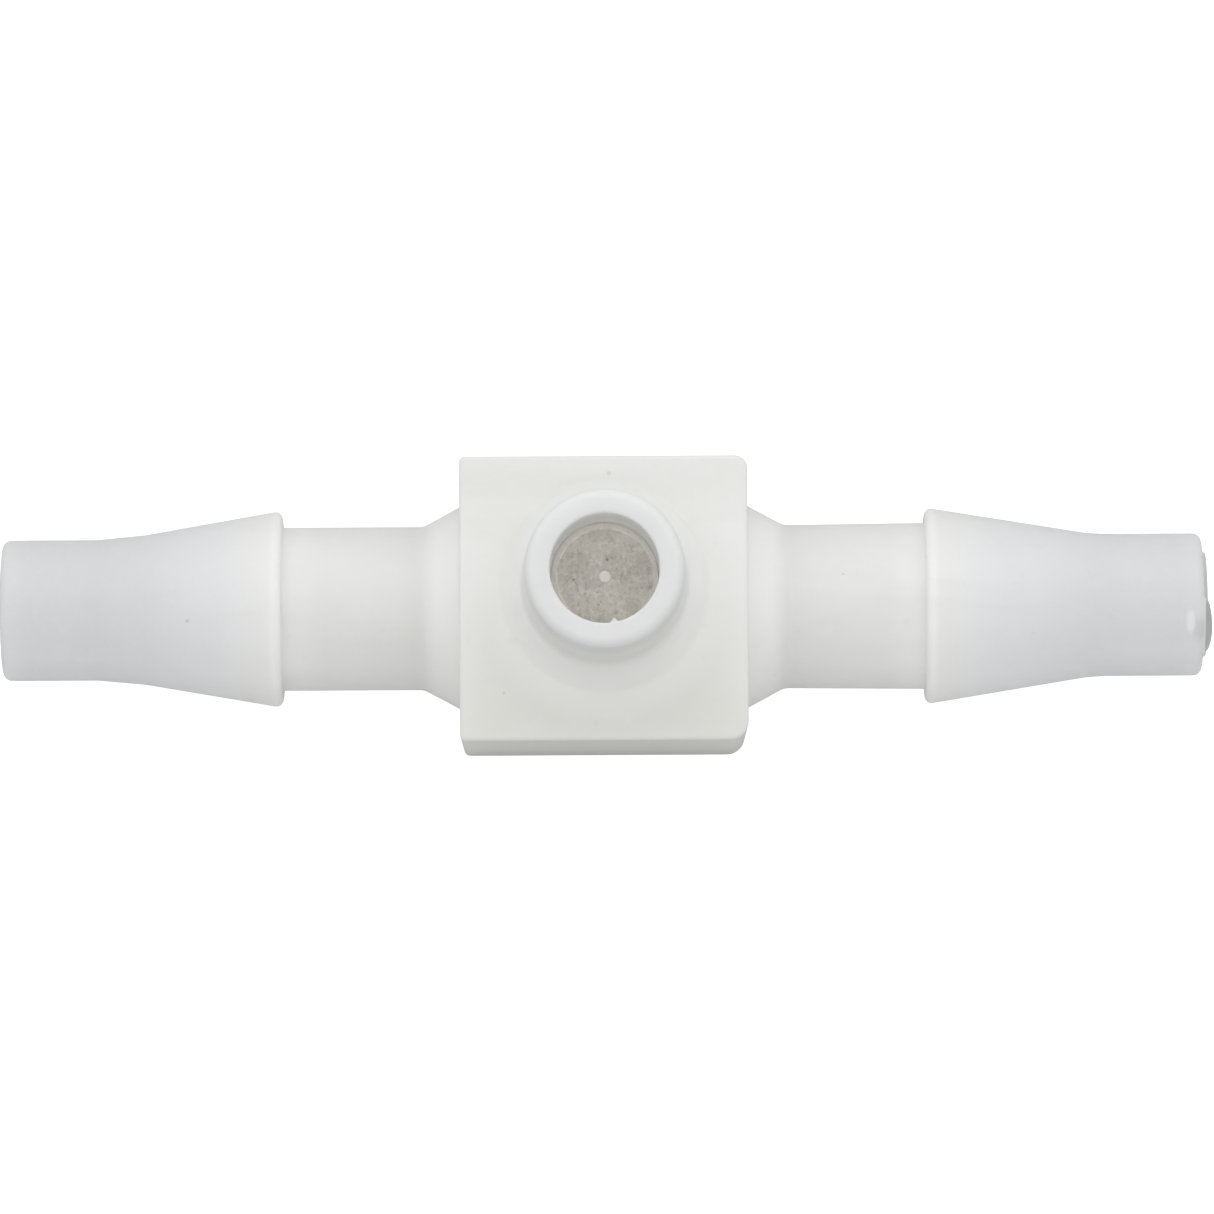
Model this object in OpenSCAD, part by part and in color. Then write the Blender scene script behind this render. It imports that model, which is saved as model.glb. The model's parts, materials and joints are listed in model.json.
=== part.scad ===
// In-line check valve with hose barbs: lift type, loaded through a side arm.
// Origin: centre of the block's flat underside. +X runs from inlet to outlet,
// +Z up the access arm. Millimetres.

/* [Block] */
// Length of the block along the flow
block_x = 11.84; // [11:0.02:13]
// Depth of the block across the flow
block_y = 11.7; // [11:0.1:13]
// Height of the block, base to the face that carries the arm
block_z = 11.8; // [11.6:0.1:12.4]
// Radius of the block's upright edges on the inlet side
edge_in = 0.25; // [0.1:0.05:0.8]
// Radius of the block's upright edge on the outlet side, near side
edge_out = 0.75; // [0.1:0.05:0.8]
// Radius of the block's upright edge on the outlet side, far side
edge_far = 0.5; // [0.1:0.05:0.8]
// Radius of the block's top and bottom edges
edge_z = 0.16; // [0.1:0.02:0.4]

/* [Hose barbs] */
// End of the inlet barb, from the block's centre
inlet_end = 25.0; // [24:0.1:27]
// End of the outlet barb, from the block's centre
outlet_end = 24.86; // [24:0.02:27]
// Outer radius of the inlet's tip
inlet_tip_r = 2.93; // [2.85:0.01:3.0]
// Outer radius of the outlet's tip
outlet_tip_r = 2.965; // [2.85:0.005:3.0]
// Largest radius of the barbs
barb_r = 4.04; // [3.9:0.01:4.2]
// Distance of a barb's square shoulder from the block's centre
barb_x = 13.36; // [12.5:0.02:14.5]
// Radius of the neck between a barb and the block
neck_r = 3.4; // [3.2:0.05:3.5]
// Radius of the flare where a neck meets the block
flare_r = 4.22; // [3.9:0.02:4.5]
// Length of that flare
flare_len = 1.58; // [1:0.02:2.5]
// Radius of the inlet's bore
inlet_bore_r = 2.15; // [2.1:0.05:2.2]
// Radius of the outlet's bore
outlet_bore_r = 2.0; // [1.95:0.05:2.05]

/* [Access arm] */
// Height of the arm above the block
arm_h = 10.5; // [10:0.1:12]
// Sideways place of the arm's axis on the block
arm_y = 0.45; // [0:0.05:0.6]
// Outer radius at the rim
arm_rim_r = 3.19; // [3.1:0.01:3.4]
// Outer radius above the flare
arm_foot_r = 3.44; // [3.4:0.01:3.7]
// Radius of the socket above the plug
socket_r = 2.2; // [2.2:0.01:2.3]
// Depth of the plug's dished face below the rim
plug_depth = 4.8; // [4.5:0.1:5]
// Radius of the chamber below the plug
chamber_r = 2.0; // [2:0.05:2]

/* [Valve] */
// Radius of the hole in the seat
orifice_r = 1.0; // [0.9:0.05:1.0]
// Lift of the poppet when fully open
lift = 1.0; // [0.5:0.1:1]
// Radius of the poppet's head
head_r = 1.5; // [1.4:0.05:1.6]
// Radius of the poppet's stem
stem_r = 0.5; // [0.4:0.05:0.5]
// Radial clearance between the stem and its guide
stem_gap = 0.06; // [0.03:0.01:0.1]
// Radius of the spring's wire
wire_r = 0.09; // [0.07:0.01:0.12]
// Mean radius of the spring's coils
coil_r = 1.2; // [1.1:0.01:1.25]
// Number of turns in the spring
turns = 6; // [4:1:7]

/* [Hidden] */
$fn = 96;

axis_z   = block_z / 2;             // height of the two hose barbs' axis
arm_x    = 0.05;                    // the arm's axis along the flow
rim_z    = block_z + arm_h;
plug_top = rim_z - plug_depth;      // face of the plug
ledge_z  = plug_top + 0.12;         // top of the cone that the plug's lip sits in
cone_z   = ledge_z - 0.32;          // foot of that cone
inner_r  = 1.8;                     // radius of the D-shaped ways inside the block
web_bot  = axis_z - 0.8;            // underside of the web below the seat
web_top  = axis_z - 0.3;            // the seat insert stands on this
o_r      = 0.25;                    // seat O-ring's cord radius
seat_fl  = web_top + 2 * o_r;       // underside of the seat insert's flange
seat_top = seat_fl + 0.5;           // top of that flange
lip_z    = seat_top + 0.2;          // sealing lip
seal_h   = 0.6;                     // thickness of the poppet's seal
seat_gap = 0.01;                    // seal to lip, closed
seal_z   = lip_z + seat_gap;
head_z   = seal_z + seal_h;         // underside of the poppet's head
head_h   = 0.6;
spring_z = head_z + head_h;         // spring's lower end
ret_z    = 11.9;                    // underside of the spring retainer
ret_h    = 1.1;
wash_h   = 0.2;
spring_t = ret_z - wash_h;          // spring's upper end
roof_z   = ret_z + ret_h + 1.6;     // roof of the pocket inside the plug
stem_z   = roof_z - lift - 0.05;    // top of the poppet's stem
groove_z = (roof_z + ledge_z) / 2;  // middle of the plug's O-ring groove

// Quarter circle of points, centre c, from angle a0 to a1
function arc(cx, cy, r, a0, a1, n = 10) =
    [for (i = [0:n]) let(a = a0 + (a1 - a0) * i / n) [cx + r * cos(a), cy + r * sin(a)]];

// Rectangle with radius ra on the low-x corners, rb on the high-x, low-y one and rc on the last
module block_outline(w, d, ra, rb, rc) {
    difference() {
        square([w, d], center = true);
        for (s = [-1, 1]) {
            corner_cut(-w / 2, s * d / 2, ra, 1, -s);
            corner_cut(w / 2, s * d / 2, s < 0 ? rb : rc, -1, -s);
        }
    }
}

// What a corner radius takes away; (dx, dy) points into the rectangle
module corner_cut(x, y, r, dx, dy) {
    difference() {
        translate([x + dx * (r / 2 - 0.5), y + dy * (r / 2 - 0.5)]) square([r + 1, r + 1], center = true);
        translate([x + dx * r, y + dy * r]) circle(r);
    }
}

module block() {
    intersection() {
        linear_extrude(block_z) block_outline(block_x, block_y, edge_in, edge_out, edge_far);
        translate([0, 0, axis_z]) rotate([90, 0, 0]) linear_extrude(block_y + 4, center = true)
            block_outline(block_x, block_z, edge_z, edge_z, edge_z);
        translate([0, 0, axis_z]) rotate([90, 0, 90]) linear_extrude(block_x + 4, center = true)
            block_outline(block_y, block_z, edge_z, edge_z, edge_z);
    }
}

// One hose barb as a solid of revolution about +X, from inside the block to its tip.
// The cone runs down to radius cone_r at cone_x and blends into the tip at blend_x.
module barb(end, tip_r, cone_x, cone_r, blend_x, swell) {
    start = block_x / 2 - 0.6;
    tip_round = 0.33;
    lip = 0.38;
    mid_x = cone_x + (blend_x - cone_x) * 0.4;
    translate([0, 0, axis_z]) rotate([0, 90, 0]) rotate_extrude()
        polygon(concat(
            [[0, start], [flare_r, start], [flare_r, block_x / 2],
             [neck_r, block_x / 2 + flare_len], [neck_r + swell, barb_x], [barb_r - 0.1, barb_x]],
            arc(barb_r - lip, barb_x + lip, lip, -36, 10, 6),
            [[cone_r, cone_x], [tip_r + (cone_r - tip_r) * 0.3, mid_x], [tip_r, blend_x]],
            arc(tip_r - tip_round, end - tip_round, tip_round, 0, 90, 6),
            [[0, end]]));
}

// The moulding gate's stub on the outlet end: a low dome on the upper side of the tip's ring
module gate_stub() {
    h = 0.34; w = 1.2; big = (w * w + h * h) / (2 * h);
    intersection() {
        translate([outlet_end + h - big, -0.95, axis_z + 2.45]) sphere(big, $fn = 64);
        translate([outlet_end - 0.2, -2.4, axis_z + outlet_bore_r + 0.06]) cube([1, 3, 1]);
        translate([0, 0, axis_z]) rotate([0, 90, 0]) cylinder(r = outlet_tip_r - 0.17, h = 30);
    }
}

module arm() {
    rr = 0.38;
    rin = 0.1;
    translate([arm_x, arm_y, 0]) rotate_extrude()
        polygon(concat(
            [[0, block_z - 1], [flare_r, block_z - 1], [flare_r, block_z], [arm_foot_r, block_z + 1.6]],
            arc(arm_rim_r - rr, rim_z - rr, rr, 2, 90, 10),
            [[0, rim_z]]));
}

// Flow bores, seat ports and the chamber, all open into one another
module passages() {
    deep = block_x / 2 + 0.28;                // the round bores end here, just outside the block
    translate([0, 0, axis_z]) rotate([0, 90, 0]) {
        translate([0, 0, -inlet_end - 1]) cylinder(r = inlet_bore_r, h = inlet_end + 1 - deep);
        translate([0, 0, deep]) cylinder(r = outlet_bore_r, h = outlet_end + 2 - deep);
    }
    // D-shaped way from the inlet bore to below the seat
    intersection() {
        translate([-deep - 0.3, 0, axis_z]) rotate([0, 90, 0]) cylinder(r = inner_r, h = deep + 0.3 + arm_x + 1.25);
        translate([-deep - 1, -3, 0]) cube([deep + 6, 6, web_bot]);
    }
    // D-shaped way out of the chamber, from above the seat to the outlet bore
    intersection() {
        translate([arm_x, 0, axis_z]) rotate([0, 90, 0]) cylinder(r = inner_r, h = deep + 0.3 - arm_x);
        translate([arm_x - 1, -3, seat_top + 0.05]) cube([deep + 6, 6, 6]);
    }
    translate([arm_x, arm_y, 0]) {
        translate([0, 0, web_bot - 0.3]) cylinder(r = orifice_r + 0.15, h = 2);
        translate([0, 0, web_top]) cylinder(r = chamber_r, h = cone_z - web_top);
        translate([0, 0, cone_z]) cylinder(r1 = chamber_r, r2 = socket_r, h = ledge_z - cone_z);
        translate([0, 0, ledge_z]) cylinder(r = socket_r, h = rim_z - ledge_z + 1);
    }
}

module body() {
    color([0.93, 0.94, 0.92]) {
        difference() {
            union() {
                block();
                barb(outlet_end, outlet_tip_r, 20.1, 3.01, 20.85, 0.06);
                mirror([1, 0, 0]) barb(inlet_end, inlet_tip_r, 19.08, 3.12, 21.1, 0);
                arm();
            }
            passages();
        }
        gate_stub();
    }
}

module plug() {
    r = chamber_r - 0.01;
    h = socket_r - 0.035;
    color([0.62, 0.61, 0.58]) translate([arm_x, arm_y, 0]) rotate_extrude() polygon([
        [1.2, ret_z + ret_h], [r - 0.15, ret_z + ret_h], [r, ret_z + ret_h + 0.15],
        [r, groove_z - 0.36], [1.44, groove_z - 0.36], [1.44, groove_z + 0.36], [r, groove_z + 0.36],
        [r, cone_z + 0.02], [h, ledge_z - 0.02], [h, ledge_z], [h - 0.22, plug_top],
        [0.27, plug_top], [0.22, plug_top + 0.05], [0, plug_top + 0.05],
        [0, roof_z], [1.2, roof_z]]);
}

module o_ring(major, minor, z) {
    translate([arm_x, arm_y, z]) rotate_extrude() translate([major, 0]) circle(minor, $fn = 32);
}

module plug_o_ring() {
    color([0.12, 0.12, 0.13]) o_ring(1.72, 0.265, groove_z);
}

module seat_o_ring() {
    color([0.12, 0.12, 0.13]) o_ring(chamber_r - o_r - 0.015, o_r - 0.01, web_top + o_r);
}

// Disc with a stem guide in the middle and four vent holes
module spring_retainer() {
    r = chamber_r - 0.01;
    color([0.9, 0.9, 0.87]) translate([arm_x, arm_y, ret_z]) difference() {
        rotate_extrude() polygon([[stem_r + stem_gap, 0], [r - 0.1, 0], [r, 0.1],
                                  [r, ret_h - 0.1], [r - 0.1, ret_h], [stem_r + stem_gap, ret_h]]);
        for (a = [45:90:315]) rotate([0, 0, a]) translate([0.95, 0, -1]) cylinder(r = 0.2, h = 4, $fn = 32);
    }
}

module spring_washer() {
    color([0.78, 0.79, 0.8]) translate([arm_x, arm_y, spring_t]) rotate_extrude()
        translate([0.68, 0]) square([0.9, wash_h - 0.005]);
}

// Height of the coil's centre line after t turns: closed, flat ends, even pitch between
function coil_z(t) = let(u = min(max((t - 0.75) / (turns - 1.5), 0), 1), dead = 2 * wire_r + 0.02)
    (t < 0.75 ? dead * t / 0.75 : t > turns - 0.75 ? coil_span() - dead * (turns - t) / 0.75
        : dead + (coil_span() - 2 * dead) * u);
function coil_span() = spring_t - spring_z - 2 * (wire_r + 0.01);
function coil_ring(t, n) = [for (k = [0:n - 1]) let(a = 360 * t, b = 360 * k / n)
    [(coil_r + wire_r * cos(b)) * cos(a), (coil_r + wire_r * cos(b)) * sin(a),
     spring_z + wire_r + 0.01 + coil_z(t) + wire_r * sin(b)]];

module spring() {
    n = 8;
    m = 18 * turns;
    pts = [for (i = [0:m]) each coil_ring(turns * i / m, n)];
    color([0.75, 0.76, 0.78]) translate([arm_x, arm_y, 0]) polyhedron(pts, concat(
        [[for (k = [0:n - 1]) k]],
        [for (i = [0:m - 1], k = [0:n - 1]) let(a = i * n, q = (k + 1) % n) [a + k, a + n + k, a + n + q, a + q]],
        [[for (k = [n - 1:-1:0]) m * n + k]]), convexity = 8);
}

module poppet() {
    color([0.9, 0.9, 0.87]) translate([arm_x, arm_y, 0]) rotate_extrude() polygon([
        [0, seal_z - 0.3], [0.55, seal_z - 0.3], [0.72, seal_z - 0.13], [0.72, seal_z],
        [0.5, seal_z], [0.5, head_z], [head_r, head_z], [head_r, head_z + head_h - 0.1],
        [head_r - 0.1, head_z + head_h], [0.88, head_z + head_h], [0.8, head_z + head_h + 0.4],
        [stem_r, head_z + head_h + 0.6], [stem_r, stem_z - 0.15], [stem_r - 0.15, stem_z], [0, stem_z]]);
}

module poppet_seal() {
    color([0.12, 0.12, 0.13]) translate([arm_x, arm_y, 0]) rotate_extrude() polygon([
        [0.5, seal_z], [head_r - 0.12, seal_z], [head_r - 0.04, seal_z + 0.08],
        [head_r - 0.04, head_z - 0.08], [head_r - 0.12, head_z], [0.5, head_z]]);
}

module seat_insert() {
    r = chamber_r - 0.01;
    s = chamber_r - 2 * o_r - 0.04;
    color([0.9, 0.9, 0.87]) translate([arm_x, arm_y, 0]) rotate_extrude() polygon([
        [orifice_r, web_top], [s, web_top], [s, seat_fl], [r, seat_fl], [r, seat_top - 0.08],
        [r - 0.08, seat_top], [orifice_r + 0.3, seat_top], [orifice_r + 0.2, lip_z],
        [orifice_r + 0.05, lip_z], [orifice_r, lip_z - 0.05]]);
}

body();
plug();
plug_o_ring();
spring_retainer();
spring_washer();
spring();
poppet();
poppet_seal();
seat_insert();
seat_o_ring();
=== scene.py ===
import json
import math
import bmesh
import bpy
from mathutils import Matrix, Vector

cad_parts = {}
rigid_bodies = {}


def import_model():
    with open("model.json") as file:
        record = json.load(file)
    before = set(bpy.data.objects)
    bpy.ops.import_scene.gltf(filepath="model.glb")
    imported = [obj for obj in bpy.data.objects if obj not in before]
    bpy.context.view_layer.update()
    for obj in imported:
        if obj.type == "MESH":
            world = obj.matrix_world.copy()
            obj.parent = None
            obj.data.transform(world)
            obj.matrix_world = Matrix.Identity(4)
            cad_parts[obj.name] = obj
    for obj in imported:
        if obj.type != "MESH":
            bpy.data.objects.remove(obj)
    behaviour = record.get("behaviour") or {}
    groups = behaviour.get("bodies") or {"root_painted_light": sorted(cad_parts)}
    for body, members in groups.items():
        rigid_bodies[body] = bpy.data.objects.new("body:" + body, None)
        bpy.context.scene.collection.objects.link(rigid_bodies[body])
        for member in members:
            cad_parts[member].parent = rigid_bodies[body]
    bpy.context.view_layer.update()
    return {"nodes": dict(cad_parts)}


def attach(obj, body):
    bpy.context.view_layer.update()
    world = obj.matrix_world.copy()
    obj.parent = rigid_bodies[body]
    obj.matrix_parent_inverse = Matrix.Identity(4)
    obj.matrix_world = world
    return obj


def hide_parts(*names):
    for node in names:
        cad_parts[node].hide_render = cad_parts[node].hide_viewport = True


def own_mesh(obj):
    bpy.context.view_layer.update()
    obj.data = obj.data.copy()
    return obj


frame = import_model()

nodes = frame["nodes"]
MM = 0.001

# ---------------------------------------------------------------- sizes, in mm, as in the CAD
BX, BY, BZ = 5.92, 5.85, 11.8        # half length and half depth of the block, and its height
AX = 5.9                             # height of the barbs' axis
ARM = (0.05, 0.45)                   # the access arm's axis
RIM, LEDGE, CONE, PLUG = 22.3, 17.62, 17.3, 17.5  # rim, cone that holds the plug's lip, plug's face
SEG = 192                            # points round each turned surface


# ---------------------------------------------------------------- profiles
def rounded(pts, step=12.0):
    """Polyline of (along, radius, fillet) with its corners rounded."""
    out = []
    for i, (x, y, rad) in enumerate(pts):
        if rad <= 0 or i in (0, len(pts) - 1):
            out.append((x, y))
            continue
        p = Vector((x, y))
        a = Vector(pts[i - 1][:2]) - p
        b = Vector(pts[i + 1][:2]) - p
        la, lb = a.length, b.length
        a.normalize()
        b.normalize()
        half = a.angle(b) / 2
        t = min(rad / math.tan(half), 0.49 * la, 0.49 * lb)
        rad = t * math.tan(half)
        c = p + (a + b).normalized() * (rad / math.sin(half))
        p0, p1 = p + a * t - c, p + b * t - c
        a0 = math.atan2(p0.y, p0.x)
        d = (math.atan2(p1.y, p1.x) - a0 + math.pi) % (2 * math.pi) - math.pi
        k = max(2, round(abs(math.degrees(d)) / step))
        out += [(c.x + rad * math.cos(a0 + d * j / k), c.y + rad * math.sin(a0 + d * j / k)) for j in range(k + 1)]
    return out


def dense(pts, lo, hi, step):
    """Adds points so that no stretch between along = lo and hi is longer than step."""
    out = [pts[0]]
    for a, b in zip(pts, pts[1:]):
        n = 1
        if lo <= (a[0] + b[0]) / 2 <= hi:
            n = max(1, math.ceil(math.dist(a, b) / step))
        out += [(a[0] + (b[0] - a[0]) * j / n, a[1] + (b[1] - a[1]) * j / n) for j in range(1, n + 1)]
    return out


def barb_profile(sign, end, tip_r, cone_x, cone_r, blend_x, neck_end, bore_r):
    slope = (4.03 - cone_r) / (cone_x - 13.83)
    pts = [(BX, 4.22 + 0.45, 0), (BX, 4.22 + 0.03, 0.24), (BX + 1.58, 3.4, 0.7), (13.36, neck_end, 0.12),
           (13.36, 4.03 + slope * 0.47, 0.38), (cone_x, cone_r, 3.0), (blend_x, tip_r, 2.4),
           (end, tip_r, 0.34), (end, bore_r, 0.07), (BX + 0.28, bore_r, 0)]
    ring = rounded(pts, 8.0)
    ring = dense(ring, BX + 0.2, end - 0.3, 0.42)
    return [(sign * x, r) for x, r in ring]


# ---------------------------------------------------------------- mesh helpers
def spin(bm, profile, place, cap=True):
    """Turned surface: a ring of points for each (along, radius), quads between them. Returns the first ring."""
    rings = []
    for s, r in profile:
        rings.append([bm.verts.new(place(s, r * math.cos(2 * math.pi * k / SEG), r * math.sin(2 * math.pi * k / SEG)))
                      for k in range(SEG)])
    for a, b in zip(rings, rings[1:]):
        for k in range(SEG):
            q = (k + 1) % SEG
            bm.faces.new((a[k], a[q], b[q], b[k]))
    if cap:
        bm.faces.new(rings[-1])
    return rings


def solid_of(bm, profile, place, seg):
    """Closed solid of revolution from (along, radius) points that start and end on the axis."""
    rings = []
    for s, r in profile:
        if r < 1e-6:
            rings.append([bm.verts.new(place(s, 0, 0))])
        else:
            rings.append([bm.verts.new(place(s, r * math.cos(2 * math.pi * k / seg), r * math.sin(2 * math.pi * k / seg)))
                          for k in range(seg)])
    for a, b in zip(rings, rings[1:]):
        for k in range(seg):
            q = (k + 1) % seg
            if len(a) == 1 and len(b) > 1:
                bm.faces.new((a[0], b[q], b[k]))
            elif len(b) == 1 and len(a) > 1:
                bm.faces.new((a[k], a[q], b[0]))
            elif len(a) > 1:
                bm.faces.new((a[k], a[q], b[q], b[k]))


def along_x(s, u, v):
    return Vector((s, u, AX + v))


def up_arm(s, u, v):
    return Vector((ARM[0] + u, ARM[1] + v, s))


def to_object(bm, name, sharp=38.0, scale=MM):
    bmesh.ops.remove_doubles(bm, verts=bm.verts, dist=1e-4)
    bmesh.ops.recalc_face_normals(bm, faces=bm.faces)
    for f in bm.faces:
        f.smooth = True
    for e in bm.edges:
        e.smooth = not (e.is_manifold and e.calc_face_angle(0) > math.radians(sharp))
    mesh = bpy.data.meshes.new(name)
    bm.to_mesh(mesh)
    bm.free()
    mesh.transform(Matrix.Scale(scale, 4))
    o = bpy.data.objects.new(name, mesh)
    bpy.context.scene.collection.objects.link(o)
    return o


def weighted(o):
    m = o.modifiers.new("normals", "WEIGHTED_NORMAL")
    m.mode = "FACE_AREA"
    m.weight = 60
    m.keep_sharp = True


def apply_modifiers(o):
    bpy.context.view_layer.update()
    ev = o.evaluated_get(bpy.context.evaluated_depsgraph_get())
    mesh = bpy.data.meshes.new_from_object(ev)
    o.modifiers.clear()
    o.data = mesh


# ---------------------------------------------------------------- the body
def outline(inset, corner):
    """Rounded rectangle of the block, drawn in by inset: sharper corners at the inlet end."""
    pts = []
    for cx, cy, r, a0 in ((1, -1, 0.75, -90), (1, 1, 0.5, 0), (-1, 1, 0.25, 90), (-1, -1, 0.25, 180)):
        r2 = r - inset
        for j in range(corner + 1):
            a = math.radians(a0 + 90 * j / corner)
            pts.append((cx * (BX - r) + r2 * math.cos(a), cy * (BY - r) + r2 * math.sin(a)))
    return pts


def make_body():
    bm = bmesh.new()
    corner = 9
    er, en = 0.16, 6
    levels = [(er * (1 - math.cos(math.radians(90 * j / en))), er * (1 - math.sin(math.radians(90 * j / en)))) for j in range(en + 1)]       # (height, inset) up the bottom edge
    stack = [(z, i) for z, i in levels] + [(BZ - z, i) for z, i in reversed(levels)]
    loops = []
    for z, inset in stack:
        loops.append([bm.verts.new((x, y, z)) for x, y in outline(inset, corner)])
    n = len(loops[0])
    panels = {"+x": corner, "-x": 3 * corner + 2}
    for li, (a, b) in enumerate(zip(loops, loops[1:])):
        big = li == en                                    # the tall band between the two rounded edges
        for k in range(n):
            q = (k + 1) % n
            if big and k in panels.values():
                continue
            bm.faces.new((a[k], a[q], b[q], b[k]))
    bm.faces.new(list(reversed(loops[0])))
    top = loops[-1]
    lower, upper = loops[en], loops[en + 1]

    inlet = spin(bm, barb_profile(-1, 25.0, 2.93, 19.08, 3.12, 21.1, 3.4, 2.15), along_x)
    outlet_prof = barb_profile(1, 24.86, 2.965, 20.1, 3.01, 20.85, 3.46, 2.0)
    # fine rings over the last of the outlet's tip, its end face and the first of its bore
    outlet_prof = dense(outlet_prof, 23.6, 30, 0.05)
    outlet = spin(bm, outlet_prof, along_x)
    arm_prof = rounded([(BZ, 4.22 + 0.45, 0), (BZ, 4.22 + 0.03, 0.24), (BZ + 1.6, 3.44, 0.8), (RIM, 3.19, 0.4),
                        (RIM, 2.2, 0.1), (LEDGE, 2.2, 0.05), (CONE, 2.0, 0.05), (5.6, 2.0, 0)], 8.0)
    arm_prof = dense(arm_prof, BZ + 0.2, RIM - 0.1, 0.45)
    arm_prof = dense(arm_prof, RIM - 0.6, RIM + 1, 0.05)
    arm = spin(bm, arm_prof, up_arm)

    def ring_edges(ring):
        return [bm.edges.get((ring[k], ring[(k + 1) % SEG])) for k in range(SEG)]

    def rect_edges(vs):
        out = []
        for a, b in zip(vs, vs[1:] + vs[:1]):
            out.append(bm.edges.get((a, b)) or bm.edges.new((a, b)))
        return out

    def fill(frame_vs, ring, normal):
        res = bmesh.ops.triangle_fill(bm, use_beauty=True, use_dissolve=False, normal=normal,
                                      edges=rect_edges(frame_vs) + ring_edges(ring))
        return [f for f in res["geom"] if isinstance(f, bmesh.types.BMFace)]

    kx, kn = panels["+x"], panels["-x"]
    fill([lower[kx], lower[kx + 1], upper[kx + 1], upper[kx]], outlet[0], (1, 0, 0))
    fill([lower[kn], lower[(kn + 1) % n], upper[(kn + 1) % n], upper[kn]], inlet[0], (-1, 0, 0))
    fill(top, arm[0], (0, 0, 1))

    # small real-life shapes, by moving points of the fine rings
    for v in bm.verts:
        x, y, z = v.co
        dz, r = z - AX, math.hypot(y, z - AX)
        # outlet's end: a thin raised collar round the bore, and the gate's low dome on its upper side
        if x > 24.8 and r > 1.99:
            t = min(1, max(0, (2.23 - r) / 0.05))
            rise = 0.17 * t * t * (3 - 2 * t) * min(1, max(0, (r - 2.0) / 0.05))
            q = ((y + 1.12) / 1.26) ** 2 + ((dz - 2.35) / 0.95) ** 2
            if q < 1:
                w = min(1, max(0, (r - 2.03) / 0.05)) * min(1, max(0, (2.86 - r) / 0.06))
                rise = max(rise, 0.32 * (1 - q) ** 0.42 * w * w * (3 - 2 * w))
            v.co.x += rise
        # oval raised mark beside it, on the tip's upper side
        if 23.6 < x < 24.84 and dz > 0 and r > 2.7:
            q = abs((x - 24.27) / 0.22) ** 2.6 + abs((y + 0.9) / 0.62) ** 2.6
            if q < 1:
                h = 0.085 * (1 - q) ** 0.6
                v.co.y += h * y / r
                v.co.z += h * dz / r
        # burr of flash on the inner edge of the arm's rim
        ax, ay = x - ARM[0], y - ARM[1]
        ra = math.hypot(ax, ay)
        if z > RIM - 0.35 and 2.1 < ra < 2.6:
            t = math.atan2(ay, ax) - math.radians(-80)
            t = (t + math.pi) % (2 * math.pi) - math.pi
            g = math.exp(-(t * 2.2 / 0.10) ** 2) * math.exp(-((z - RIM + 0.06) / 0.1) ** 2) * max(0, 1 - (ra - 2.2) / 0.14)
            v.co.x -= 0.2 * g * ax / ra
            v.co.y -= 0.2 * g * ay / ra
    body = to_object(bm, "body_shell", scale=1.0)

    # inner ways
    def cutter(name, build):
        c = bmesh.new()
        build(c)
        bmesh.ops.recalc_face_normals(c, faces=c.faces)
        mesh = bpy.data.meshes.new(name)
        c.to_mesh(mesh)
        c.free()
        o = bpy.data.objects.new(name, mesh)
        bpy.context.scene.collection.objects.link(o)
        return o

    def d_way(x0, x1, z0, z1, r=1.8, n=72):
        """Prism along x: the part of a round way of radius r that lies between two heights."""
        def build(c):
            zs0, zs1 = max(z0, AX - r), min(z1, AX + r)
            pts = []
            if zs1 < AX + r - 1e-6:                        # flat on top
                half = math.sqrt(r * r - (zs1 - AX) ** 2)
                a0 = math.atan2(zs1 - AX, -half)
                a1 = math.atan2(zs1 - AX, half)
                a0 -= 2 * math.pi if a0 > a1 else 0
            else:                                          # flat below
                half = math.sqrt(r * r - (zs0 - AX) ** 2)
                a0 = math.atan2(zs0 - AX, half)
                a1 = math.atan2(zs0 - AX, -half)
                a1 += 2 * math.pi if a1 < a0 else 0
            for j in range(n + 1):
                a = a0 + (a1 - a0) * j / n
                pts.append((r * math.cos(a), AX + r * math.sin(a)))
            fa = [c.verts.new((x0, y, z)) for y, z in pts]
            fb = [c.verts.new((x1, y, z)) for y, z in pts]
            c.faces.new(fa)
            c.faces.new(list(reversed(fb)))
            for k in range(len(pts)):
                q = (k + 1) % len(pts)
                c.faces.new((fa[k], fb[k], fb[q], fa[q]))
        return build

    cuts = [cutter("cut_in", d_way(-6.5, ARM[0] + 1.25, 0, 5.1)),
            cutter("cut_out", d_way(ARM[0], 6.5, 6.65, 12)),
            cutter("cut_port", lambda c: solid_of(c, [(4.8, 0), (4.8, 1.15), (6.0, 1.15), (6.0, 0)], up_arm, 96))]
    for o in cuts:
        m = body.modifiers.new("cut", "BOOLEAN")
        m.object = o
        m.operation = "DIFFERENCE"
        m.solver = "EXACT"
    apply_modifiers(body)
    for o in cuts:
        bpy.data.objects.remove(o)
    body.data.transform(Matrix.Scale(MM, 4))
    bm = bmesh.new()
    bm.from_mesh(body.data)
    bmesh.ops.dissolve_degenerate(bm, dist=2e-8, edges=bm.edges)
    for f in bm.faces:
        f.smooth = True
        f.material_index = 0
    for e in bm.edges:
        e.smooth = not (e.is_manifold and e.calc_face_angle(0) > math.radians(38))
    bm.to_mesh(body.data)
    bm.free()
    weighted(body)
    return body


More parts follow.
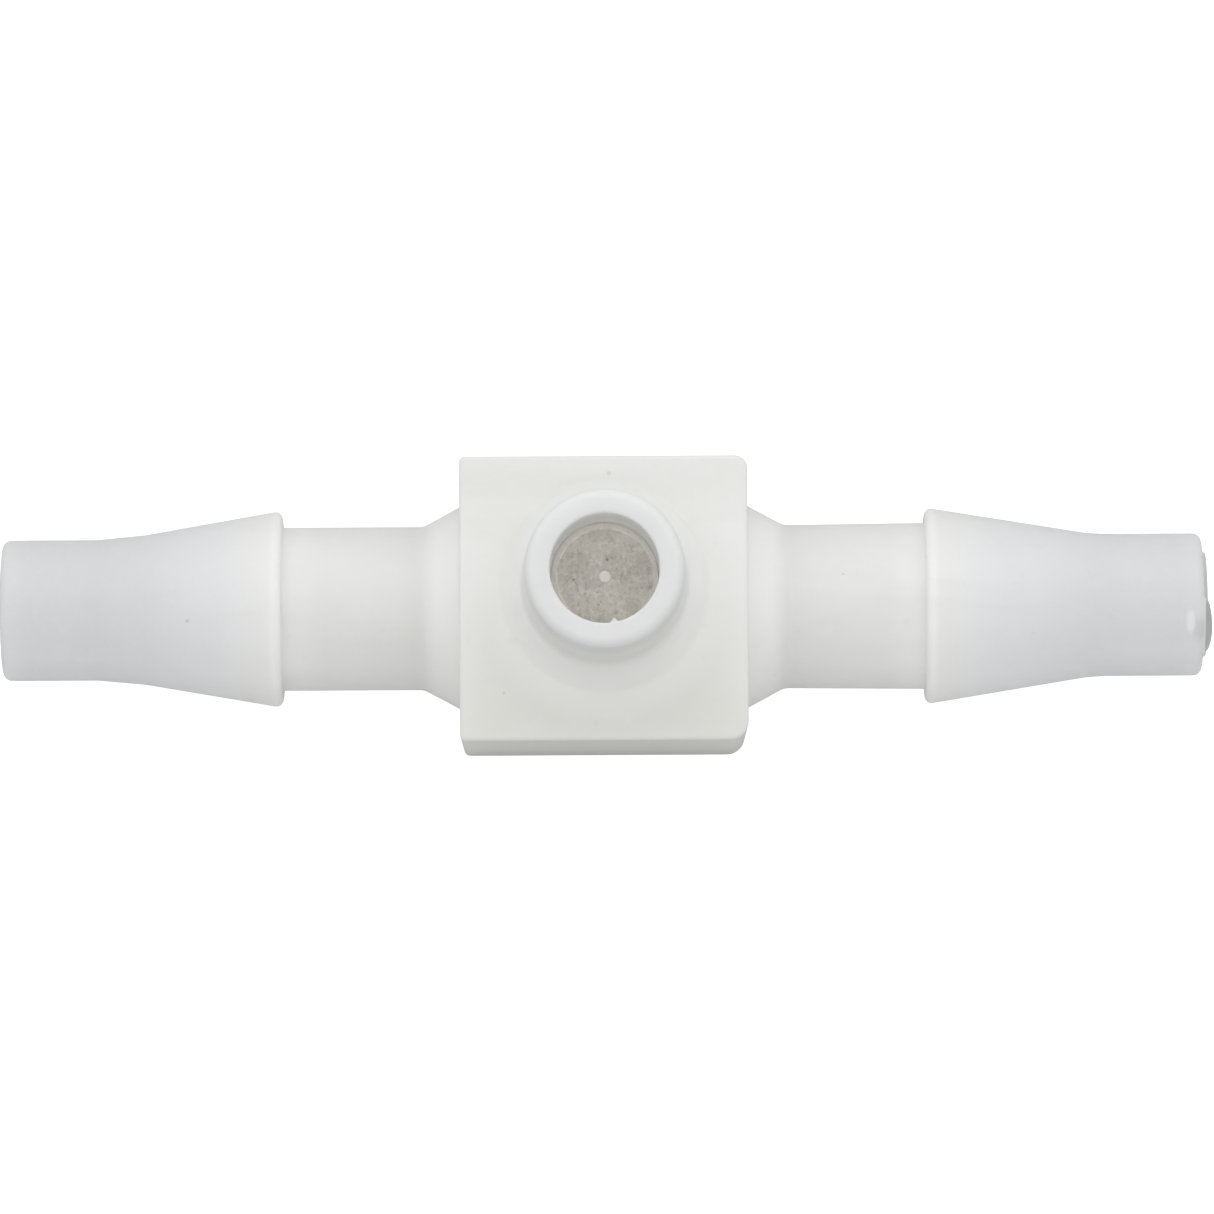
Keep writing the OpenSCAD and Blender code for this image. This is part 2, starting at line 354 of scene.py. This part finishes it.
# ---------------------------------------------------------------- smaller pieces
def make_plug():
    g = (14.6 + LEDGE) / 2
    pts = [(14.6, 0, 0), (14.6, 1.2, 0.08), (13.0, 1.2, 0.06), (13.0, 1.99, 0.15), (g - 0.36, 1.99, 0.04),
           (g - 0.36, 1.44, 0.05), (g + 0.36, 1.44, 0.05), (g + 0.36, 1.99, 0.04), (CONE + 0.02, 1.99, 0.03),
           (LEDGE - 0.02, 2.165, 0.008), (LEDGE, 2.165, 0.008), (PLUG, 1.95, 0.05), (PLUG, 0.29, 0.03),
           (PLUG + 0.048, 0.22, 0.03), (PLUG + 0.03, 0.1, 0.05), (PLUG + 0.03, 0, 0)]
    prof = rounded(pts, 12.0)
    prof = dense(prof, PLUG - 0.01, PLUG + 0.2, 0.12)
    bm = bmesh.new()
    solid_of(bm, prof, up_arm, 160)
    # faint sink and sprue ring in the dished face
    for v in bm.verts:
        if v.co.z > PLUG - 0.02:
            r = math.hypot(v.co.x - ARM[0], v.co.y - ARM[1])
            if 0.3 < r < 1.9:
                v.co.z -= 0.03 * math.sin(math.pi * (r - 0.3) / 1.6)
    o = to_object(bm, "plug_shell")
    weighted(o)
    return o


def make_ring(name, major, minor, z, squash=0.94):
    """O-ring: slightly squashed cord with a hair-line of moulding flash."""
    bm = bmesh.new()
    n, m = 144, 32
    rings = []
    for k in range(n):
        a = 2 * math.pi * k / n
        ring = []
        for j in range(m):
            b = 2 * math.pi * j / m
            rr = minor * (1 + (0.018 if j in (0, m // 2) else 0))
            rr *= 0.98
            u = major + rr * math.cos(b)
            ring.append(bm.verts.new((ARM[0] + u * math.cos(a), ARM[1] + u * math.sin(a), z + rr * math.sin(b) * squash)))
        rings.append(ring)
    for k in range(n):
        a, b = rings[k], rings[(k + 1) % n]
        for j in range(m):
            q = (j + 1) % m
            bm.faces.new((a[j], b[j], b[q], a[q]))
    return to_object(bm, name, sharp=60)


def make_spring():
    """Closed-end compression spring, wire drawn round a helix."""
    coil_r, wire_r, turns = 1.2, 0.088, 6
    z0, z1 = 8.02, 11.69
    span = z1 - z0 - 2 * wire_r
    dead = 2 * wire_r + 0.02
    per, n = 60, 14
    bm = bmesh.new()
    rings = []
    total = per * turns
    for i in range(total + 1):
        t = turns * i / total
        if t < 0.75:
            h = dead * t / 0.75
        elif t > turns - 0.75:
            h = span - dead * (turns - t) / 0.75
        else:
            h = dead + (span - 2 * dead) * (t - 0.75) / (turns - 1.5)
        a = 2 * math.pi * t
        ring = []
        for j in range(n):
            b = 2 * math.pi * j / n
            u = coil_r + wire_r * math.cos(b)
            ring.append(bm.verts.new((ARM[0] + u * math.cos(a), ARM[1] + u * math.sin(a), z0 + wire_r + h + wire_r * math.sin(b))))
        rings.append(ring)
    for a, b in zip(rings, rings[1:]):
        for j in range(n):
            q = (j + 1) % n
            bm.faces.new((a[j], b[j], b[q], a[q]))
    bm.faces.new(rings[0])
    bm.faces.new(list(reversed(rings[-1])))
    return to_object(bm, "coil_spring", sharp=50)


# ---------------------------------------------------------------- materials
def ramp(nt, fac, stops):
    r = nt.nodes.new("ShaderNodeValToRGB")
    r.color_ramp.elements[0].position = stops[0][0]
    r.color_ramp.elements[0].color = stops[0][1]
    r.color_ramp.elements[1].position = stops[-1][0]
    r.color_ramp.elements[1].color = stops[-1][1]
    for p, c in stops[1:-1]:
        e = r.color_ramp.elements.new(p)
        e.color = c
    nt.links.new(fac, r.inputs["Fac"])
    return r.outputs["Color"]


class Mat:
    """A Principled material with helpers for the procedural layers in it."""

    def __init__(self, name):
        self.m = bpy.data.materials.new(name)
        self.m.use_nodes = True
        self.nt = self.m.node_tree
        self.b = next(n for n in self.nt.nodes if n.type == "BSDF_PRINCIPLED")
        self.co = self.nt.nodes.new("ShaderNodeTexCoord").outputs["Object"]

    def noise(self, scale, detail=3.0, rough=0.55, vec=None, distortion=0.0):
        n = self.nt.nodes.new("ShaderNodeTexNoise")
        n.inputs["Scale"].default_value = scale
        n.inputs["Detail"].default_value = detail
        n.inputs["Roughness"].default_value = rough
        n.inputs["Distortion"].default_value = distortion
        self.nt.links.new(vec if vec is not None else self.co, n.inputs["Vector"])
        return n.outputs["Fac"]

    def voronoi(self, scale, feature="F1", vec=None):
        n = self.nt.nodes.new("ShaderNodeTexVoronoi")
        n.feature = feature
        n.inputs["Scale"].default_value = scale
        self.nt.links.new(vec if vec is not None else self.co, n.inputs["Vector"])
        return n

    def math(self, op, a, b=None, c=None):
        n = self.nt.nodes.new("ShaderNodeMath")
        n.operation = op
        for i, v in enumerate((a, b, c)):
            if v is None:
                continue
            if isinstance(v, (int, float)):
                n.inputs[i].default_value = v
            else:
                self.nt.links.new(v, n.inputs[i])
        return n.outputs[0]

    def step(self, x, lo, hi, smooth=True):
        n = self.nt.nodes.new("ShaderNodeMapRange")
        n.interpolation_type = "SMOOTHSTEP" if smooth else "LINEAR"
        n.inputs["From Min"].default_value = lo
        n.inputs["From Max"].default_value = hi
        n.inputs["To Min"].default_value = 0
        n.inputs["To Max"].default_value = 1
        self.nt.links.new(x, n.inputs["Value"])
        return n.outputs[0]

    def mix(self, fac, a, b, blend="MIX"):
        n = self.nt.nodes.new("ShaderNodeMix")
        n.data_type = "RGBA"
        n.blend_type = blend
        ins = [s for s in n.inputs if s.type == "RGBA"]
        f = n.inputs[0]
        if isinstance(fac, (int, float)):
            f.default_value = fac
        else:
            self.nt.links.new(fac, f)
        for s, v in zip(ins, (a, b)):
            if isinstance(v, tuple):
                s.default_value = v
            else:
                self.nt.links.new(v, s)
        return next(o for o in n.outputs if o.type == "RGBA")

    def xyz(self):
        n = self.nt.nodes.new("ShaderNodeSeparateXYZ")
        self.nt.links.new(self.co, n.inputs[0])
        return n.outputs[0], n.outputs[1], n.outputs[2]

    def stretched(self, scale, rotation=(0, 0, 0)):
        n = self.nt.nodes.new("ShaderNodeMapping")
        n.inputs["Scale"].default_value = scale
        n.inputs["Rotation"].default_value = rotation
        self.nt.links.new(self.co, n.inputs["Vector"])
        return n.outputs[0]

    def bump(self, height, strength, distance, normal=None):
        n = self.nt.nodes.new("ShaderNodeBump")
        n.inputs["Strength"].default_value = strength
        n.inputs["Distance"].default_value = distance
        self.nt.links.new(height, n.inputs["Height"])
        if normal is not None:
            self.nt.links.new(normal, n.inputs["Normal"])
        return n.outputs[0]

    def near(self, p, radius, soft=0.5, scale=(1, 1, 1)):
        """1 within radius mm of the point p in mm, fading to 0."""
        n = self.nt.nodes.new("ShaderNodeVectorMath")
        n.operation = "SUBTRACT"
        self.nt.links.new(self.co, n.inputs[0])
        n.inputs[1].default_value = tuple(c * MM for c in p)
        s = self.nt.nodes.new("ShaderNodeVectorMath")
        s.operation = "MULTIPLY"
        self.nt.links.new(n.outputs[0], s.inputs[0])
        s.inputs[1].default_value = scale
        d = self.nt.nodes.new("ShaderNodeVectorMath")
        d.operation = "LENGTH"
        self.nt.links.new(s.outputs[0], d.inputs[0])
        return self.math("SUBTRACT", 1.0, self.step(d.outputs["Value"], radius * (1 - soft) * MM, radius * MM))

    def set(self, socket, v):
        if isinstance(v, (int, float, tuple)):
            self.b.inputs[socket].default_value = v
        else:
            self.nt.links.new(v, self.b.inputs[socket])


def srgb(r, g, b):
    def f(c):
        c /= 255.0
        return c / 12.92 if c <= 0.04045 else ((c + 0.055) / 1.055) ** 2.4
    return (f(r), f(g), f(b), 1.0)


def body_material():
    m = Mat("natural_plastic")
    x, y, z = m.xyz()
    warm, thin_wall_cool_shade = srgb(237, 237, 235), srgb(229, 231, 232)
    # greyer, cooler barbs where the wall is thin (partly the thin plastic's tone, partly painted shade of the hollow
    # seen through the wall), warmer block
    ax = m.math("ABSOLUTE", x)
    ends = m.step(ax, 0.0125, 0.0165)
    wob = m.noise(140, 3, 0.5)
    col = m.mix(ends, warm, thin_wall_cool_shade)
    necks = m.step(ax, 0.0058, 0.0075)
    # painted shade: the block darker towards its near (-Y) side
    near_side_painted_shade = m.math("MULTIPLY", m.math("SUBTRACT", 1.0, m.step(y, -0.0062, 0.0015)), m.math("SUBTRACT", 1.0, necks))
    col = m.mix(m.math("MULTIPLY", near_side_painted_shade, 0.7), col, srgb(228, 228, 222))
    col = m.mix(m.math("MULTIPLY", m.math("SUBTRACT", necks, ends), 0.8), col, srgb(231, 231, 229))
    # painted light: paler barb roots next to the block, where the block shades them
    root_painted_light = m.math("MULTIPLY", m.step(ax, 0.00593, 0.006), m.math("SUBTRACT", 1.0, m.step(ax, 0.0068, 0.0080)))
    col = m.mix(m.math("MULTIPLY", root_painted_light, 0.8), col, srgb(250, 250, 248))
    # painted light: paler neck just behind each barb's crest, where the crest shades it
    back = m.math("MULTIPLY", m.step(ax, 0.0114, 0.0133), m.math("SUBTRACT", 1.0, m.step(ax, 0.0134, 0.0140)))
    col = m.mix(m.math("MULTIPLY", back, 0.5), col, srgb(249, 249, 248))
    # painted shade: greyer tip ends where the wall is thin; and a greyer far edge on the block
    col = m.mix(m.math("MULTIPLY", m.step(ax, 0.0222, 0.0247), 0.55), col, srgb(190, 192, 194))
    col = m.mix(m.math("MULTIPLY", m.step(x, 0.0241, 0.0247), 0.5), col, srgb(182, 184, 186))
    col = m.mix(m.math("MULTIPLY", m.math("SUBTRACT", 1.0, m.step(x, -0.0249, -0.0238)), 0.35), col, srgb(186, 188, 190))
    far = m.math("MULTIPLY", m.step(y, 0.0028, 0.0056), m.math("SUBTRACT", 1.0, necks))
    col = m.mix(m.math("MULTIPLY", far, 0.6), col, srgb(224, 224, 222))
    # painted light round the arm's foot, where the arm shades the block, and painted shade down the block's near side
    # towards the floor
    foot_painted_light = m.math("MULTIPLY", m.near((ARM[0], ARM[1] - 0.6, BZ), 5.4, 0.4), m.step(z, 0.0112, 0.0118))
    foot_painted_light = m.math("MULTIPLY", foot_painted_light, m.math("SUBTRACT", 1.0, m.step(y, 0.0005, 0.0034)))
    col = m.mix(m.math("MULTIPLY", foot_painted_light, 0.85), col, srgb(250, 250, 248))
    # painted shade: the block's near side face darker towards the floor
    flank_painted_shade = m.math("MULTIPLY", m.math("SUBTRACT", 1.0, m.step(y, -0.00584, -0.0057)), m.math("SUBTRACT", 1.0, m.step(z, 0.0005, 0.0065)))
    col = m.mix(m.math("MULTIPLY", flank_painted_shade, 0.5), col, srgb(194, 193, 186))
    # greyer, cooler top of the arm: partly the thin plastic's tone, partly painted shade of the bore seen through the
    # wall
    col = m.mix(m.step(z, 0.0185, 0.0205), col, srgb(225, 226, 226))
    # painted shade: greyer towards the barbs' tips, where the hollow shows through the thin wall
    col = m.mix(m.math("MULTIPLY", m.step(ax, 0.0155, 0.0245, False), 0.9), col, srgb(217, 218, 220))
    col = m.mix(m.math("MULTIPLY", m.step(wob, 0.38, 0.7), 0.16), col, srgb(219, 220, 214))
    # slow flow marks that run along the barbs
    flow = m.noise(260, 4, 0.6, m.stretched((0.22, 1.0, 1.0)), 0.6)
    col = m.mix(m.math("MULTIPLY", m.step(flow, 0.5, 0.75), 0.16), col, srgb(205, 206, 201))
    # fine light and dark mottle in the milky plastic
    fine = m.noise(2600, 4, 0.65)
    col = m.mix(m.math("MULTIPLY", m.step(fine, 0.5, 0.72), 0.08), col, srgb(246, 247, 243))
    col = m.mix(m.math("MULTIPLY", m.step(m.noise(1900, 3, 0.6), 0.62, 0.8), 0.12), col, srgb(196, 195, 188))
    # dust and scuffs: a few soft dark specks
    v = m.voronoi(520)
    dot = m.math("SUBTRACT", 1.0, m.step(v.outputs["Distance"], 0.05, 0.10))
    keep = m.step(m.noise(180, 1, 0.5), 0.60, 0.66)
    col = m.mix(m.math("MULTIPLY", m.math("MULTIPLY", dot, keep), 0.30), col, srgb(150, 146, 138))
    for p, r, s in (((0.24, 5.12, BZ), 0.11, 0.22), ((3.05, -2.09, BZ), 0.10, 0.4), ((-4.1, -3.9, BZ), 0.07, 0.2),
                    ((9.9, 1.1, AX + 3.2), 0.08, 0.3), ((-17.2, -0.7, AX + 3.4), 0.09, 0.3)):
        col = m.mix(m.math("MULTIPLY", m.near(p, r), s), col, srgb(140, 136, 126))
    # painted shade on the gate vestige's dome at the outlet's end
    gate_dome_painted_shade = m.math("MULTIPLY", m.near((25.0, -1.12, AX + 2.35), 1.42, 0.3), m.step(x, 0.02488, 0.02492))
    col = m.mix(m.math("MULTIPLY", gate_dome_painted_shade, 0.9), col, srgb(146, 146, 145))
    # painted shadow round the raised oval mark beside the gate
    gate_painted_shadow = m.near((24.72, -1.25, AX + 2.7), 0.8, 0.8, (1.6, 1, 1))
    col = m.mix(m.math("MULTIPLY", gate_painted_shadow, 0.4), col, srgb(178, 179, 178))
    # painted highlight on the raised oval mark
    oval_painted_highlight = m.near((24.27, -0.9, AX + 2.9), 0.64, 0.6, (2.7, 1, 1))
    col = m.mix(m.math("MULTIPLY", oval_painted_highlight, 0.5), col, srgb(240, 241, 240))
    m.set("Base Color", col)
    m.set("Roughness", m.math("ADD", 0.36, m.math("MULTIPLY", m.noise(900, 4, 0.6), 0.16)))
    m.set("IOR", 1.49)
    m.set("Specular IOR Level", 0.42)
    # more light goes through the thin walls of the barbs
    m.set("Subsurface Weight", m.math("ADD", 0.55, m.math("MULTIPLY", necks, 0.4)))
    m.set("Subsurface Radius", (1.0, 1.0, 0.96))
    m.set("Subsurface Scale", m.math("ADD", 0.0020, m.math("MULTIPLY", ends, 0.0012)))
    big = m.bump(m.noise(120, 2, 0.5), 0.35, 0.00012)
    mid = m.bump(m.noise(1300, 3, 0.55, m.stretched((0.5, 1, 1))), 0.22, 0.00002, big)
    m.set("Normal", m.bump(m.noise(9000, 2, 0.6), 0.18, 0.000006, mid))
    return m.m


def plug_material():
    m = Mat("grey_plastic_face")
    x, y, z = m.xyz()
    col = m.mix(m.step(m.noise(620, 4, 0.6), 0.35, 0.7), srgb(198, 193, 185), srgb(180, 175, 167))
    col = m.mix(m.math("MULTIPLY", m.step(m.noise(4600, 3, 0.7), 0.48, 0.66), 0.5), col, srgb(216, 212, 206))
    col = m.mix(m.math("MULTIPLY", m.step(m.noise(5400, 3, 0.7, m.stretched((1.1, 1, 1), (0, 0, 1.1))), 0.5, 0.68), 0.55), col, srgb(146, 141, 132))
    v = m.voronoi(1500)
    dot = m.math("SUBTRACT", 1.0, m.step(v.outputs["Distance"], 0.10, 0.2))
    keep = m.step(m.noise(700, 1, 0.5), 0.56, 0.62)
    col = m.mix(m.math("MULTIPLY", m.math("MULTIPLY", dot, keep), 0.4), col, srgb(120, 114, 104))
    for p, r, s, f in (((0.15, 1.14, PLUG), 0.085, 0.8, 0.5), ((-1.2, 0.33, PLUG), 0.08, 0.7, 0.5),
                       ((-0.2, -0.7, PLUG), 0.08, 0.6, 0.6), ((0.38, 1.25, PLUG), 0.42, 0.22, 0.95),
                       ((1.1, -0.75, PLUG), 0.5, 0.2, 0.95), ((-0.95, 1.3, PLUG), 0.4, 0.15, 0.95)):
        col = m.mix(m.math("MULTIPLY", m.near(p, r, f), s), col, srgb(104, 102, 90))
    col = m.mix(m.math("MULTIPLY", m.near((-0.88, -0.06, PLUG), 0.24, 0.9), 0.45), col, srgb(216, 213, 208))
    col = m.mix(m.math("MULTIPLY", m.near((-1.1, -0.35, PLUG), 0.2, 0.9), 0.3), col, srgb(210, 210, 214))
    # paler, browner lip outside the dish, with a painted highlight along the lip's edge, strongest on the lit side
    out = m.math("SUBTRACT", 1.0, m.near((ARM[0], ARM[1], PLUG + 0.06), 1.98, 0.02))
    col = m.mix(m.math("MULTIPLY", m.math("MULTIPLY", out, m.step(z, 0.0174, 0.01745)), 0.6), col, srgb(226, 220, 212))
    # painted highlight: a bright, broken line where the lip starts, strongest on one side
    lip_painted_highlight = m.math("MULTIPLY", m.near((ARM[0], ARM[1], PLUG + 0.02), 1.99, 0.02),
                  m.math("SUBTRACT", 1.0, m.near((ARM[0], ARM[1], PLUG + 0.02), 1.93, 0.02)))
    side = m.step(m.math("ADD", m.math("MULTIPLY", x, -0.75), m.math("MULTIPLY", y, 0.66)), -0.0008, 0.0016)
    patchy = m.step(m.noise(1700, 3, 0.6), 0.3, 0.62)
    lip_painted_highlight = m.math("MULTIPLY", lip_painted_highlight, patchy)
    col = m.mix(m.math("MULTIPLY", lip_painted_highlight, m.math("ADD", 0.12, m.math("MULTIPLY", side, 0.62))), col, srgb(240, 236, 229))
    col = m.mix(m.math("MULTIPLY", m.near((ARM[0], ARM[1], PLUG + 0.04), 0.31, 0.45), 0.9), col, srgb(222, 219, 214))
    m.set("Base Color", col)
    m.set("Roughness", m.math("ADD", 0.42, m.math("MULTIPLY", m.noise(1100, 3, 0.6), 0.2)))
    m.set("Subsurface Weight", 0.2)
    m.set("Subsurface Radius", (1.0, 0.95, 0.85))
    m.set("Subsurface Scale", 0.0006)
    m.set("Normal", m.bump(m.noise(3200, 3, 0.6), 0.4, 0.00002, m.bump(m.noise(520, 2, 0.5), 0.4, 0.00005)))
    return m.m


def inner_material():
    m = Mat("inner_plastic_fine")
    col = m.mix(m.step(m.noise(500, 4, 0.6), 0.35, 0.7), srgb(238, 237, 230), srgb(223, 222, 213))
    col = m.mix(m.math("MULTIPLY", m.step(m.noise(3000, 3, 0.6), 0.55, 0.75), 0.3), col, srgb(205, 203, 194))
    m.set("Base Color", col)
    m.set("Roughness", m.math("ADD", 0.3, m.math("MULTIPLY", m.noise(1500, 3, 0.6), 0.2)))
    m.set("Subsurface Weight", 0.2)
    m.set("Subsurface Radius", (1.0, 0.95, 0.85))
    m.set("Subsurface Scale", 0.0006)
    m.set("Normal", m.bump(m.noise(5000, 3, 0.6), 0.25, 0.00001))
    return m.m


def rubber_material():
    m = Mat("rubber_matte")
    col = m.mix(m.step(m.noise(900, 4, 0.6), 0.35, 0.7), srgb(36, 36, 38), srgb(52, 51, 52))
    col = m.mix(m.math("MULTIPLY", m.step(m.noise(5200, 3, 0.6), 0.6, 0.78), 0.5), col, srgb(84, 82, 80))
    m.set("Base Color", col)
    m.set("Roughness", m.math("ADD", 0.55, m.math("MULTIPLY", m.noise(2400, 3, 0.6), 0.25)))
    m.set("Normal", m.bump(m.noise(7000, 3, 0.6), 0.35, 0.00001))
    return m.m


def steel_material():
    m = Mat("steel_drawn")
    lines = m.noise(1500, 4, 0.6, m.stretched((1.0, 1.0, 9.0)))
    col = m.mix(m.step(lines, 0.35, 0.7), srgb(196, 198, 202), srgb(168, 170, 176))
    m.set("Base Color", col)
    m.set("Metallic", 1.0)
    m.set("Roughness", m.math("ADD", 0.2, m.math("MULTIPLY", m.noise(2600, 3, 0.6), 0.22)))
    m.set("Normal", m.bump(lines, 0.3, 0.000006))
    return m.m


def dress(o, mat):
    if len(o.data.materials) == 0:
        o.data.materials.append(mat)
    for i in range(len(o.data.materials)):
        o.data.materials[i] = mat


body = make_body()
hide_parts("body")
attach(body, "valve_body")
dress(body, body_material())

plug = make_plug()
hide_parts("plug")
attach(plug, "valve_body")
dress(plug, plug_material())

rubber = rubber_material()
for name, node, major, minor, z in (("o_ring_plug", "plug_o_ring", 1.72, 0.265, (14.6 + LEDGE) / 2),
                                    ("o_ring_seat", "seat_o_ring", 1.735, 0.24, 5.85)):
    ring = make_ring(name, major, minor, z)
    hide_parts(node)
    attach(ring, "valve_body")
    dress(ring, rubber)

steel = steel_material()
spring = make_spring()
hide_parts("spring")
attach(spring, "valve_body")
dress(spring, steel)
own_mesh(spring)

inner = inner_material()
for name in ("spring_retainer", "poppet", "seat_insert"):
    dress(nodes[name], inner)
dress(nodes["poppet_seal"], rubber)
dress(nodes["spring_washer"], steel)

# ---------------------------------------------------------------- floor, light and camera
WORLD = (0.58, 0.90)       # dim and bright side of the soft box
KEY = 0.0138               # strip light above the far side, watts
GLOW = 0.00026            # small lamp down the arm's socket
BARBS = 0.028             # each of the two low spots
scene = bpy.context.scene
bm = bmesh.new()
half = 1.2
vs = [bm.verts.new((a * half, b * half, -0.00002)) for a, b in ((-1, -1), (1, -1), (1, 1), (-1, 1))]
bm.faces.new(vs)
mesh = bpy.data.meshes.new("floor")
bm.to_mesh(mesh)
bm.free()
floor = bpy.data.objects.new("floor", mesh)
scene.collection.objects.link(floor)
m = Mat("floor_white")
col = m.mix(m.step(m.noise(30, 3, 0.5), 0.3, 0.7), (0.52, 0.52, 0.52, 1), (0.55, 0.55, 0.55, 1))
m.set("Base Color", col)
m.set("Roughness", 0.8)
m.set("Emission Color", (1, 1, 1, 1))
# seen directly the floor is white paper; as a light it is only as bright as its grey
m.set("Emission Strength", m.math("MULTIPLY", m.nt.nodes.new("ShaderNodeLightPath").outputs["Is Camera Ray"], 0.85))
floor.data.materials.append(m.m)

# soft box all round: brighter overhead and on the far side
world = bpy.data.worlds.new("studio")
scene.world = world
world.use_nodes = True
nt = world.node_tree
bg = next(n for n in nt.nodes if n.type == "BACKGROUND")
way = nt.nodes.new("ShaderNodeVectorMath")
way.operation = "DOT_PRODUCT"
nt.links.new(nt.nodes.new("ShaderNodeTexCoord").outputs["Generated"], way.inputs[0])
way.inputs[1].default_value = (0, 0.64, 0.77)
lit = nt.nodes.new("ShaderNodeMapRange")
lit.inputs["From Min"].default_value = -1
lit.inputs["From Max"].default_value = 1
lit.inputs["To Min"].default_value = WORLD[0]
lit.inputs["To Max"].default_value = WORLD[1]
nt.links.new(way.outputs["Value"], lit.inputs["Value"])
nt.links.new(lit.outputs[0], bg.inputs["Strength"])
bg.inputs["Color"].default_value = (1.0, 1.0, 1.0, 1)


def area(name, loc, target, size, power, colour=(1, 1, 1), size_y=None):
    data = bpy.data.lights.new(name, "AREA")
    data.shape = "RECTANGLE"
    data.size = size
    data.size_y = size_y or size
    data.energy = power
    data.color = colour
    o = bpy.data.objects.new(name, data)
    scene.collection.objects.link(o)
    o.location = Vector(loc)
    o.rotation_euler = (Vector(target) - Vector(loc)).to_track_quat("-Z", "Y").to_euler()
    return o


area("key", (0, 0.042, 0.058), (0, 0, 0.009), 0.15, KEY, size_y=0.04)
lamp = bpy.data.lights.new("socket_glow", "SPOT")       # stands in for light through the arm's milky wall
lamp.energy = GLOW
lamp.shadow_soft_size = 0.0007
lamp.spot_size = math.radians(64)
lamp.spot_blend = 0.25
o = bpy.data.objects.new("socket_glow", lamp)
scene.collection.objects.link(o)
o.location = (ARM[0] * MM, ARM[1] * MM, 0.0219)
for side in (-1, 1):                                    # low, soft spots that open up the barbs' near sides
    lamp = bpy.data.lights.new("barb_fill", "SPOT")
    lamp.energy = BARBS
    lamp.shadow_soft_size = 0.012
    lamp.spot_size = math.radians(21)
    lamp.spot_blend = 0.7
    o = bpy.data.objects.new("barb_fill", lamp)
    scene.collection.objects.link(o)
    o.location = (side * 0.020, -0.058, 0.010)
    o.rotation_euler = (Vector((side * 0.0195, 0, 0.0055)) - Vector(o.location)).to_track_quat("-Z", "Y").to_euler()
for o in scene.objects:
    if o.type == "LIGHT":
        o.visible_camera = False

# camera: straight over the arm, leaning 4 degrees towards the near side
TILT, ROLL = math.radians(4.0), math.radians(0.31)
target = Vector((0.135, 0.025, 5.9)) * MM
back = Vector((0, -math.sin(TILT), math.cos(TILT)))
up = Vector((0, math.cos(TILT), math.sin(TILT)))
right = Vector((1, 0, 0))
c, s = math.cos(ROLL), math.sin(ROLL)
right, up = right * c - up * s, up * c + right * s
cam_data = bpy.data.cameras.new("camera")
cam_data.sensor_fit = "HORIZONTAL"
cam_data.sensor_width = 36.0
cam_data.lens = 18.0 / (25.29 / 375.0)
cam_data.clip_start = 0.01
cam_data.clip_end = 10.0
cam = bpy.data.objects.new("camera", cam_data)
scene.collection.objects.link(cam)
cam.matrix_world = Matrix.Translation(target + back * 0.375) @ Matrix((right, up, back)).transposed().to_4x4()
scene.camera = cam

scene.view_settings.view_transform = "Standard"
scene.view_settings.look = "None"
scene.view_settings.exposure = 0.0
scene.view_settings.gamma = 1.0

bpy.context.view_layer.update()
